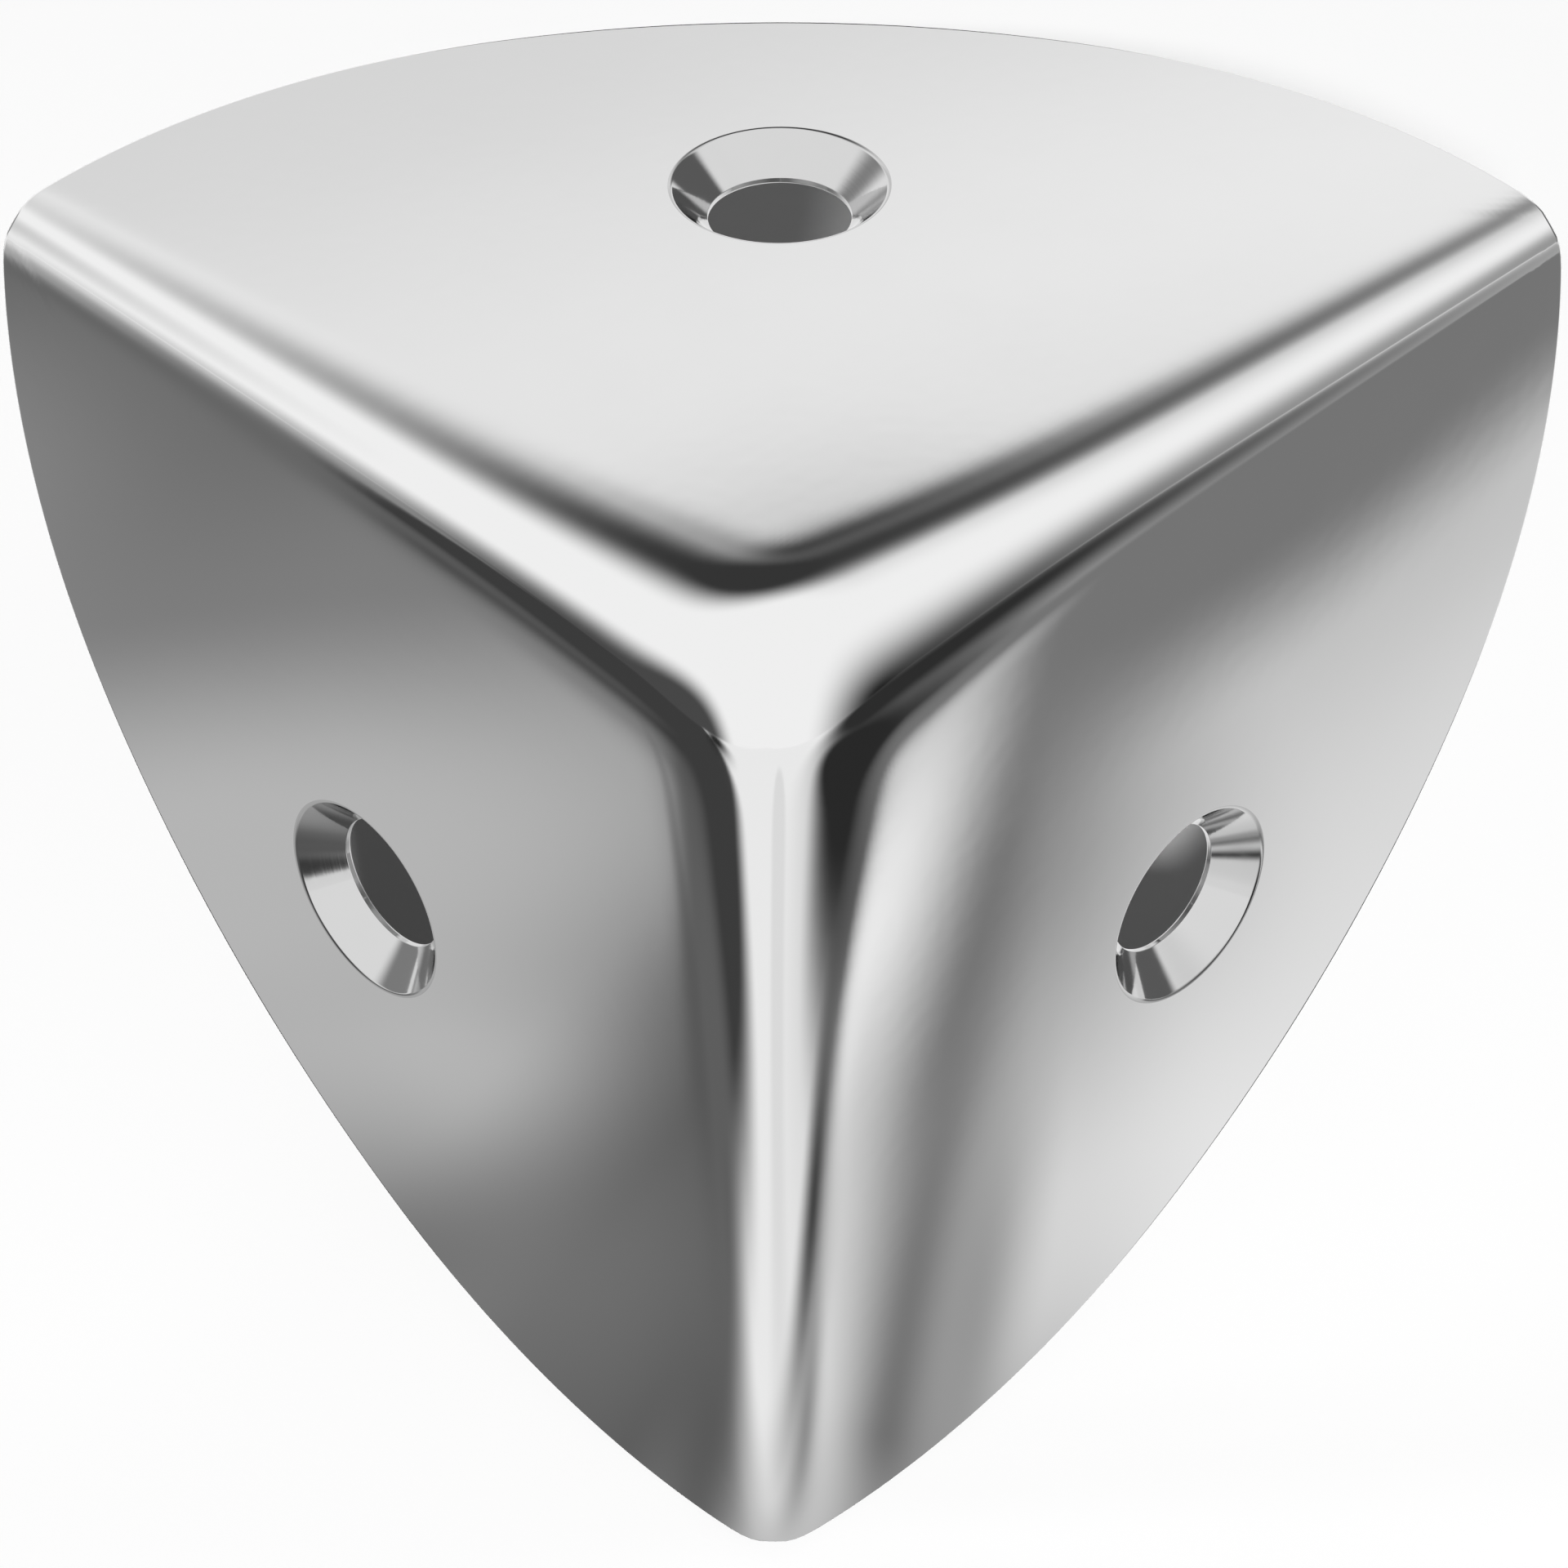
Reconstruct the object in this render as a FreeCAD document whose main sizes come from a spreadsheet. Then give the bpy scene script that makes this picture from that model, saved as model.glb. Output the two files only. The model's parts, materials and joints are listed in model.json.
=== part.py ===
import FreeCAD, Part
import Sketcher

import math
import os

# Case corner: one pressed steel cap for the outer corner of a case or box.
# Three equal flanges meet at right angles along rounded folds. Each flange ends in a round
# outline and has one countersunk screw hole. All lengths are in millimetres.
#
# Frame: +Z up. The origin is the case's own corner point, where the three inner faces of the
# flanges would meet if they were sharp. The case fills +X, +Y and -Z, so the flanges face
# +Z (top), -X (left) and -Y (right). The outer corner point, where the three outer faces
# would meet, lies one sheet thickness out along each of those directions.

# Driving sizes
SIZES = {
    "leg": 40.0,  # reach of a flange along its folds, from the outer corner point to the rim
    "bulge": 2.5,  # how much further a flange reaches in its middle than along its folds
    "shoulder": 30.0,  # angle from a fold at which the outline's rounder end gives way to its middle
    "sheet": 1.6,  # thickness of the sheet
    "fold_near": 4.2,  # outer radius of a fold at the corner, where the sheet is drawn most
    "fold_far": 3.0,  # outer radius of a fold at its far end
    "blunting": 6.4,  # how far along each fold the sharp tip is cut back before it is rounded
    "screw_hole": 5.3,  # diameter of a screw hole
    "screw_mouth": 8.0,  # diameter of a countersink at the outer face
    "countersink": 90.0,  # full angle of a countersink, in degrees
    "hole_reach": 21.5,  # from the outer faces of the two other flanges to a hole's axis
    "spare": 5.0,  # how far the raw blocks and cutters run past what they shape
}

X, Y, Z = FreeCAD.Vector(1, 0, 0), FreeCAD.Vector(0, 1, 0), FreeCAD.Vector(0, 0, 1)
OUTWARD = Z - X - Y  # from the case's corner point towards the outer one

# The sizes of the space inside follow from the outside and the sheet. The plane that takes
# the tip off lies one sheet thickness further in, measured square to it.
INSIDE_BLUNTING = "(sizes.blunting - (3 - sqrt(3)) * sizes.sheet)"
INSIDE_NEAR = "(sizes.fold_near - sizes.sheet)"
INSIDE_FAR = "(sizes.fold_far - sizes.sheet)"

# Depth of a countersink
CONE_DEPTH = "((sizes.screw_mouth - sizes.screw_hole) / 2 / tan(sizes.countersink * 1 deg / 2))"

# Each flange's two folds, as directions away from the corner. Their cross product points
# out of the flange, and the flanges are one another turned about the corner's diagonal.
FLANGES = {"top": (X, Y), "left": (Y, -Z), "right": (-Z, X)}

doc = FreeCAD.newDocument("case_corner")


def add_sheet():
    """Adds the spreadsheet that holds the driving sizes."""
    sheet = doc.addObject("Spreadsheet::Sheet", "sizes")
    for row, (alias, value) in enumerate(SIZES.items(), start=1):
        sheet.set(f"A{row}", alias)
        sheet.set(f"B{row}", str(value))
        sheet.setAlias(f"B{row}", alias)
    doc.recompute()


def add(kind, name, **expressions):
    """Adds a feature whose sizes are tied to the sheet."""
    feature = doc.addObject(kind, name)
    for size, expression in expressions.items():
        feature.setExpression(size, expression)
    return feature


def place(feature, rotation, *steps):
    """Turns a feature and ties its position to the sheet.

    Each step is a direction along one or more axes and the expression of how far to go.
    """
    feature.Placement = FreeCAD.Placement(FreeCAD.Vector(), rotation)
    for axis in "xyz":
        terms = [f"{getattr(way, axis):g} * {far}" for way, far in steps if getattr(way, axis)]
        feature.setExpression(f"Placement.Base.{axis}", " + ".join(terms) or "0")


def combine(kind, name, *features):
    """Cuts the second feature from the first, or fuses or intersects all of them."""
    feature = doc.addObject(kind, name)
    if kind.startswith("Part::Multi"):
        feature.Shapes = features
    else:
        feature.Base, feature.Tool = features
    doc.recompute()
    return feature


def add_rounded_corner(name, wall, blunting, near, far):
    """A block with its near corner blunted and everything round that corner rounded.

    The block's faces lie at the height wall above the case's faces. All sizes are expressions.
    """
    reach = "(sizes.leg + sizes.spare)"
    block = add("Part::Box", f"{name}_block", Length=reach, Width=reach, Height=reach)
    place(block, FreeCAD.Rotation(), (OUTWARD, wall), (-Z, reach))

    # A cylinder that stands on the corner's diagonal takes the sharp tip off
    tip = add("Part::Cylinder", f"{name}_tip", Radius="2 * sizes.blunting", Height="sizes.blunting")
    place(tip, FreeCAD.Rotation(Z, OUTWARD), (OUTWARD, f"({wall} - {blunting} / 3)"))
    blunt = combine("Part::Cut", f"{name}_blunt", block, tip)

    rounded = doc.addObject("Part::Fillet", name)
    rounded.Base = blunt
    near_radius, far_radius = (float(blunt.evalExpression(size)) for size in (near, far))
    rounded.Edges = corner_edges(blunt.Shape, near_radius, far_radius)
    doc.recompute()
    return rounded


def corner_edges(shape, near, far):
    """The three short edges round a blunted tip and the three long ones that run out from it.

    Each comes with the radii at its two ends.
    """
    tip_level = max(vertex.Point.dot(OUTWARD) for vertex in shape.Vertexes)
    edges = []
    for number, edge in enumerate(shape.Edges, start=1):
        ends = [
            near if math.isclose(vertex.Point.dot(OUTWARD), tip_level, abs_tol=1e-6) else far
            for vertex in edge.Vertexes
        ]
        if near in ends:
            edges.append((number, *ends))
    return edges


def add_outline(flange):
    """A slab with a flange's outline, which runs square through the sheet from both sides.

    The rim's middle is an arc about the outer corner point, and a smaller arc at each end
    brings it in to the fold. Past the folds the slab is square and clears the shell.
    """
    along, across = FLANGES[flange]
    sketch = doc.addObject("Sketcher::SketchObject", f"{flange}_outline")
    place(sketch, FreeCAD.Rotation(along, across, along.cross(across), "ZXY"), (OUTWARD, "sizes.sheet"))

    # First guesses, which the constraints then hold: three arcs, four straight sides and a
    # construction line from the corner point to where the first two arcs meet
    leg, spare = SIZES["leg"], SIZES["spare"]
    middle = leg + SIZES["bulge"]
    turn, quarter = math.radians(SIZES["shoulder"]), math.radians(90)
    inset = (middle**2 - leg**2) / (2 * (middle - leg * math.cos(turn)))
    ray = FreeCAD.Vector(math.cos(turn), math.sin(turn), 0)
    centre = ray * inset
    end = math.atan2(-centre.y, leg - centre.x)
    corners = [(0, leg), (-spare, leg), (-spare, -spare), (leg, -spare), (leg, 0)]
    points = [FreeCAD.Vector(x, y, 0) for x, y in corners]
    arcs = [
        (centre, middle - inset, end, turn),
        (FreeCAD.Vector(), middle, turn, quarter - turn),
        (FreeCAD.Vector(centre.y, centre.x, 0), middle - inset, quarter - turn, quarter - end),
    ]
    for point, radius, first, last in arcs:
        sketch.addGeometry(Part.ArcOfCircle(Part.Circle(point, Z, radius), first, last))
    for first, last in zip(points, points[1:]):
        sketch.addGeometry(Part.LineSegment(first, last))
    sketch.addGeometry(Part.LineSegment(FreeCAD.Vector(), ray * middle), True)

    # Items 0 to 2 are the arcs, 3 to 6 the sides and 7 the line. Item -1 is the corner point
    # with the first fold, and -2 the second fold. Ends are 1 and 2, and an arc's centre is 3.
    for constraint in (
        ("Tangent", 0, 2, 1, 1),
        ("Tangent", 1, 2, 2, 1),
        ("Coincident", 1, 3, -1, 1),
        ("Equal", 0, 2),
        ("PointOnObject", 0, 1, -1),
        ("PointOnObject", 2, 2, -2),
        ("Coincident", 2, 2, 3, 1),
        ("Coincident", 3, 2, 4, 1),
        ("Coincident", 4, 2, 5, 1),
        ("Coincident", 5, 2, 6, 1),
        ("Coincident", 6, 2, 0, 1),
        ("Horizontal", 3),
        ("Vertical", 4),
        ("Horizontal", 5),
        ("Vertical", 6),
        ("Coincident", 7, 1, -1, 1),
        ("Coincident", 7, 2, 0, 2),
    ):
        sketch.addConstraint(Sketcher.Constraint(*constraint))
    for expression, *constraint in (
        ("sizes.leg + sizes.bulge", "Radius", 1, middle),
        ("sizes.leg", "DistanceX", -1, 1, 0, 1, leg),
        ("sizes.leg", "DistanceY", -1, 1, 2, 2, leg),
        ("sizes.spare", "DistanceX", 4, 1, -1, 1, spare),
        ("sizes.spare", "DistanceY", 5, 1, -1, 1, spare),
        ("sizes.shoulder * 1 deg", "Angle", 7, turn),
    ):
        number = sketch.addConstraint(Sketcher.Constraint(*constraint))
        sketch.setExpression(f"Constraints[{number}]", expression)

    slab = add(
        "Part::Extrusion",
        f"{flange}_slab",
        LengthFwd="sizes.spare",
        LengthRev="sizes.sheet + sizes.fold_near",
    )
    slab.Base = sketch
    slab.DirMode = "Normal"
    slab.Solid = True
    return slab


def add_screw_cutter(flange):
    """A straight hole through one flange, with a cone that opens to the outside."""
    along, across = FLANGES[flange]
    outward = along.cross(across)
    rotation = FreeCAD.Rotation(Z, outward)
    reach = (along + across, "(sizes.hole_reach - sizes.sheet)")
    hole = add(
        "Part::Cylinder",
        f"{flange}_hole",
        Radius="sizes.screw_hole / 2",
        Height="sizes.sheet + 2 * sizes.spare",
    )
    place(hole, rotation, reach, (-outward, "sizes.spare"))

    # The cone runs past the outer face by its own depth, so it grows by as much again
    cone = add(
        "Part::Cone",
        f"{flange}_cone",
        Radius1="sizes.screw_hole / 2",
        Radius2="sizes.screw_mouth - sizes.screw_hole / 2",
        Height=f"2 * {CONE_DEPTH}",
    )
    place(cone, rotation, reach, (outward, f"(sizes.sheet - {CONE_DEPTH})"))
    return combine("Part::Fuse", f"{flange}_screw_cutter", hole, cone)


def add_corner_shell():
    """The pressed shell: outside less inside, trimmed to its outlines and drilled."""
    outside = add_rounded_corner(
        "outside", "sizes.sheet", "sizes.blunting", "sizes.fold_near", "sizes.fold_far"
    )
    inside = add_rounded_corner("inside", "0", INSIDE_BLUNTING, INSIDE_NEAR, INSIDE_FAR)
    hollow = combine("Part::Cut", "hollow", outside, inside)
    slabs = combine("Part::MultiFuse", "outline_slabs", *map(add_outline, FLANGES))
    trimmed = combine("Part::Common", "trimmed", hollow, slabs)
    cutters = combine("Part::MultiFuse", "screw_cutters", *map(add_screw_cutter, FLANGES))
    shell = combine("Part::Cut", "corner_shell", trimmed, cutters)
    shell.Label = "corner_shell"
    return shell


def check(parts):
    """Stops the script where a feature failed or a part isn't one valid solid."""
    failed = [item.Name for item in doc.Objects if {"Invalid", "Error"} & set(item.State)]
    if failed:
        raise RuntimeError(f"features failed: {failed}")
    for part in parts:
        if part.Shape.isNull() or not part.Shape.isValid():
            raise RuntimeError(f"{part.Label} has no valid shape")


add_sheet()
parts = [add_corner_shell()]
doc.recompute()
check(parts)
os.makedirs("parts", exist_ok=True)
for part in parts:
    part.Shape.exportStep(f"parts/{part.Label}.step")
    print(part.Label, "solids", len(part.Shape.Solids), "volume", round(part.Shape.Volume, 2))
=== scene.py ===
import json
import logging
import math
from collections.abc import Callable
from dataclasses import dataclass, field
from enum import Enum

import bpy
import numpy as np
from mathutils import Matrix, Vector

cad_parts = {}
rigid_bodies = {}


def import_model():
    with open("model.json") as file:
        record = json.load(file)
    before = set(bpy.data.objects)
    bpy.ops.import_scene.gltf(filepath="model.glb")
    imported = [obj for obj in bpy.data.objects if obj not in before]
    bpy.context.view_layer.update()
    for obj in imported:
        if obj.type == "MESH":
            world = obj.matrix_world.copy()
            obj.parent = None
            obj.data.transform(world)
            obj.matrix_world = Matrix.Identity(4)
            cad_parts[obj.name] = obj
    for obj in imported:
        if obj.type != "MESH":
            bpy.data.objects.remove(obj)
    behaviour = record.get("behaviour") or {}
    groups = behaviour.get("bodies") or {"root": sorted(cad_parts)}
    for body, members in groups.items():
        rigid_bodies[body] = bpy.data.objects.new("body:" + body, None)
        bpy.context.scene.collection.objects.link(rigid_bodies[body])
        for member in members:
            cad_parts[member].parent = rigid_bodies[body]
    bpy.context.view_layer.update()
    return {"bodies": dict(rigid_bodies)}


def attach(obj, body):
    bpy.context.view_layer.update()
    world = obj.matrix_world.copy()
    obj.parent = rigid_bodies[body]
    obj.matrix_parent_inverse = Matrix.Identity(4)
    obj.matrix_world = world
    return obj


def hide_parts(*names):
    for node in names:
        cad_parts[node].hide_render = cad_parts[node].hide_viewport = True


LOG = logging.getLogger("case_corner")
Tree = bpy.types.NodeTree
Socket = bpy.types.NodeSocket

MM = 0.001
QUARTER_TURN = math.radians(90)
EIGHTH_TURN = math.radians(45)

# The mesh's own record of how far each point is from its hole's axis
AXIS_DISTANCE = "axis_distance"

# How often a span is halved until it closes on the place that is looked for
HALVINGS = 45


class Surface(Enum):
    """The three finishes of the shell, in the order of its material slots."""

    POLISHED = 0
    COUNTERSUNK = 1
    BACK = 2


def linear(code: str) -> tuple[float, float, float, float]:
    """Turns an sRGB hex value into linear light, by that standard's curve.

    Args:
        code: Six hex digits, red first.

    Returns:
        Red, green, blue and an alpha of 1.
    """
    shares = [int(code[i : i + 2], 16) / 255 for i in (0, 2, 4)]
    light = [s / 12.92 if s <= 0.04045 else ((s + 0.055) / 1.055) ** 2.4 for s in shares]
    return (*light, 1.0)


def node(tree: Tree, kind: str, settings: dict | None = None, **links: object) -> bpy.types.Node:
    """Adds a shader node with its settings and its inputs.

    Args:
        tree: The node tree it goes into.
        kind: Blender's name for the node.
        settings: Attributes of the node itself.
        links: Inputs by name, with underscores for spaces, or by number after an "i". Each is
            an output socket to link or a plain value.

    Returns:
        The new node.
    """
    made = tree.nodes.new(kind)
    for name, value in (settings or {}).items():
        setattr(made, name, value)
    for name, value in links.items():
        numbered = name[0] == "i" and name[1:].isdigit()
        socket = made.inputs[int(name[1:]) if numbered else name.replace("_", " ")]
        if isinstance(value, Socket):
            tree.links.new(value, socket)
        else:
            socket.default_value = value
    return made


def new_material(name: str) -> tuple[bpy.types.Material, Tree, bpy.types.Node]:
    """Makes an empty node material.

    Args:
        name: The material's name.

    Returns:
        The material, its cleared tree and its output node.
    """
    material = bpy.data.materials.new(name)
    material.use_nodes = True
    tree = material.node_tree
    tree.nodes.clear()
    return material, tree, tree.nodes.new("ShaderNodeOutputMaterial")


def noise(tree: Tree, place: Socket, size: float, detail: float, roughness: float = 0.5) -> Socket:
    """Adds a cloudy pattern.

    Args:
        tree: The node tree it goes into.
        place: The point on the object.
        size: The size of its largest clouds, in millimetres.
        detail: How many layers of finer clouds it has.
        roughness: How strong the finer layers are.

    Returns:
        The pattern, from 0 to 1.
    """
    pattern = node(
        tree,
        "ShaderNodeTexNoise",
        Vector=place,
        Scale=1 / (size * MM),
        Detail=detail,
        Roughness=roughness,
    )
    return pattern.outputs["Fac"]


def remap(
    tree: Tree,
    value: Socket,
    span: tuple[float, float],
    ends: tuple[float, float],
    smooth: bool = False,
) -> Socket:
    """Stretches a span of values over another one, and holds them at its ends.

    Args:
        tree: The node tree.
        value: The value that is looked up.
        span: Where the span starts and ends.
        ends: The new values at its start and its end.
        smooth: Whether they set off and arrive softly.

    Returns:
        The new value.
    """
    stretched = node(
        tree,
        "ShaderNodeMapRange",
        {"interpolation_type": "SMOOTHSTEP" if smooth else "LINEAR"},
        Value=value,
        From_Min=span[0],
        From_Max=span[1],
        To_Min=ends[0],
        To_Max=ends[1],
    )
    return stretched.outputs["Result"]


def bump(tree: Tree, pattern: Socket, depth: float, **links: Socket) -> Socket:
    """Raises a surface by a pattern.

    Args:
        tree: The node tree.
        pattern: The pattern, from 0 to 1.
        depth: How high it stands where it is 1, in millimetres.
        links: The Normal that it adds to, where there is one.

    Returns:
        The surface's directions.
    """
    return node(tree, "ShaderNodeBump", Height=pattern, Distance=depth * MM, **links).outputs["Normal"]


def mix(tree: Tree, share: Socket, below: object, above: object) -> Socket:
    """Lays one colour over another.

    Args:
        tree: The node tree.
        share: How much of the upper colour shows.
        below: The lower colour, as a socket or a value.
        above: The upper colour, as a socket or a value.

    Returns:
        The mixed colour.
    """
    mixed = node(tree, "ShaderNodeMix", {"data_type": "RGBA"}, i0=share, i6=below, i7=above)
    return mixed.outputs["Result"]


def calculate(tree: Tree, operation: str, first: Socket, second: object) -> Socket:
    """Works out one number from two.

    Args:
        tree: The node tree.
        operation: Blender's name for what is done.
        first: The first number.
        second: The second number, as a socket or a value.

    Returns:
        The result.
    """
    return node(tree, "ShaderNodeMath", {"operation": operation}, i0=first, i1=second).outputs["Value"]


def dot(tree: Tree, spot: Socket, axis: tuple[float, float, float]) -> Socket:
    """Measures how far something lies along an axis.

    Args:
        tree: The node tree.
        spot: A point or a direction.
        axis: A direction whose length is one over the unit that is measured in.

    Returns:
        The distance in that unit.
    """
    measured = node(tree, "ShaderNodeVectorMath", {"operation": "DOT_PRODUCT"}, i0=spot, i1=axis)
    return measured.outputs["Value"]


def bare_metal(
    tree: Tree, out: bpy.types.Node, colour: object, roughness: Socket, normal: Socket
) -> None:
    """Ends a material in bare metal.

    Args:
        tree: The material's tree.
        out: Its output node.
        colour: The metal's colour, as a socket or a value.
        roughness: Its roughness.
        normal: The surface's directions.
    """
    shader = node(
        tree,
        "ShaderNodeBsdfPrincipled",
        Base_Color=colour,
        Metallic=1.0,
        Roughness=roughness,
        Normal=normal,
    )
    tree.links.new(shader.outputs["BSDF"], out.inputs["Surface"])


@dataclass(frozen=True)
class BrightChrome:
    """Bright chrome over nickel on buffed steel, the finish of everything that faces outwards.

    It mirrors sharply and almost white. Buffing leaves a faint haze in clouds and a shallow
    waviness, and the plate itself a fine orange peel. Sizes and depths are millimetres.
    """

    colour: str = "EFEFEF"
    roughness: float = 0.035
    haze: float = 0.035
    haze_size: float = 3.0
    haze_span: tuple[float, float] = (0.35, 0.75)
    wave_size: float = 9.0
    wave_depth: float = 0.012
    peel_size: float = 0.7
    peel_depth: float = 0.0006

    def material(self) -> bpy.types.Material:
        """Builds the polished finish.

        Returns:
            The material.
        """
        material, tree, out = new_material("bright_chrome_plate")
        place = node(tree, "ShaderNodeTexCoord").outputs["Object"]
        clouds = noise(tree, place, self.haze_size, detail=3.0)
        roughness = remap(tree, clouds, self.haze_span, (self.roughness, self.roughness + self.haze))
        # The waviness bends the mirrored lines a little, and the peel grains their soft edges
        waves = bump(tree, noise(tree, place, self.wave_size, detail=0.0), self.wave_depth)
        peel = bump(tree, noise(tree, place, self.peel_size, detail=0.0), self.peel_depth, Normal=waves)
        bare_metal(tree, out, linear(self.colour), roughness, peel)
        return material


@dataclass(frozen=True)
class TurnedChrome:
    """Chrome over a countersink cut by a turning tool, which no buffing wheel reaches.

    It is bright, but a shade deeper than the flanges, with the tool's fine rings round the
    hole. Real rings are about 0.05 mm apart, too fine to show, so these are drawn coarser.
    Sizes and depths are millimetres.
    """

    colour: str = "D6D6D6"
    roughness: float = 0.06
    mottle: float = 0.06
    mottle_size: float = 0.8
    mottle_span: tuple[float, float] = (0.3, 0.7)
    ring_spacing: float = 0.16
    ring_depth: float = 0.0012

    def material(self) -> bpy.types.Material:
        """Builds the countersinks' finish.

        Returns:
            The material.
        """
        material, tree, out = new_material("chrome_plate_turned")
        place = node(tree, "ShaderNodeTexCoord").outputs["Object"]
        marks = noise(tree, place, self.mottle_size, detail=2.0)
        roughness = remap(tree, marks, self.mottle_span, (self.roughness, self.roughness + self.mottle))
        # The pattern changes only with the distance from the hole's axis, so it makes rings
        distance = node(tree, "ShaderNodeAttribute", {"attribute_name": AXIS_DISTANCE}).outputs["Fac"]
        scale = 1 / (self.ring_spacing * MM)
        rings = node(tree, "ShaderNodeTexNoise", {"noise_dimensions": "1D"}, W=distance, Scale=scale)
        grooves = bump(tree, rings.outputs["Fac"], self.ring_depth)
        bare_metal(tree, out, linear(self.colour), roughness, grooves)
        return material


@dataclass(frozen=True)
class PlatedBack:
    """Thin nickel over rolled sheet that was never buffed, the finish of the inside.

    It is satin and a little grey, with the plate's clouds and the rolled sheet's grain.
    Sizes and depths are millimetres.
    """

    colour: str = "BABABA"
    cloud_colour: str = "ACACAC"
    cloud_size: float = 6.0
    cloud_span: tuple[float, float] = (0.35, 0.65)
    roughness: float = 0.22
    roughness_spread: float = 0.2
    grain_size: float = 0.6
    grain_depth: float = 0.012

    def material(self) -> bpy.types.Material:
        """Builds the inside's finish.

        Returns:
            The material.
        """
        material, tree, out = new_material("plated_rolled_steel")
        place = node(tree, "ShaderNodeTexCoord").outputs["Object"]
        clouds = remap(tree, noise(tree, place, self.cloud_size, detail=4.0), self.cloud_span, (0.0, 1.0))
        tone = mix(tree, clouds, linear(self.colour), linear(self.cloud_colour))
        grain = noise(tree, place, self.grain_size, detail=5.0, roughness=0.6)
        roughness = remap(
            tree, grain, (0.0, 1.0), (self.roughness, self.roughness + self.roughness_spread)
        )
        bare_metal(tree, out, tone, roughness, bump(tree, grain, self.grain_depth))
        return material


def last_passing(
    passes: Callable[[np.ndarray], np.ndarray], low: np.ndarray, high: np.ndarray
) -> np.ndarray:
    """Closes on the values at which a test stops passing, by halving the spans that hold them.

    Args:
        passes: Says for each value whether it passes. It does up to some value and not beyond.
        low: Where the spans start.
        high: Where the spans end.

    Returns:
        The last values that pass, or the starts where none does.
    """
    for _ in range(HALVINGS):
        middle = (low + high) / 2
        passed = passes(middle)
        low = np.where(passed, middle, low)
        high = np.where(passed, high, middle)
    return low


def on_plane(spots: np.ndarray) -> np.ndarray:
    """Gives places on a flange's plane, or directions in it, a depth of 0."""
    return np.concatenate([spots, np.zeros((len(spots), 1))], axis=-1)


@dataclass
class FlangeMesh:
    """A flange's points, outward directions and faces, laid in rows round its hole.

    A row has one point on each ray from the hole, except the rows on the rim's edge, which
    have one on each ray that ends there.
    """

    points: list[np.ndarray] = field(default_factory=list)
    directions: list[np.ndarray] = field(default_factory=list)
    starts: list[int] = field(default_factory=lambda: [0])
    faces: list[tuple[int, ...]] = field(default_factory=list)
    surfaces: list[Surface] = field(default_factory=list)

    def add_row(self, points: np.ndarray, directions: np.ndarray) -> int:
        """Adds a row.

        Args:
            points: Its points.
            directions: The outward directions there.

        Returns:
            The row's number.
        """
        self.points.append(points)
        self.directions.append(directions)
        self.starts.append(self.starts[-1] + len(points))
        return len(self.points) - 1

    def at(self, row: int, place: int) -> int:
        """The number of a point by its row and its place there, counted round and round."""
        return self.starts[row] + place % len(self.points[row])

    def add_face(self, corners: tuple[int, ...], surface: Surface) -> None:
        """Adds a face."""
        self.faces.append(corners)
        self.surfaces.append(surface)

    def join(self, lower: int, upper: int, surface: Surface) -> None:
        """Joins two rows all the way round the hole.

        Args:
            lower: The number of one row.
            upper: The number of the next row.
            surface: What the faces between them are.
        """
        for ray in range(len(self.points[lower])):
            near = (self.at(lower, ray), self.at(lower, ray + 1))
            far = (self.at(upper, ray + 1), self.at(upper, ray))
            self.add_face(near + far, surface)


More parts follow.
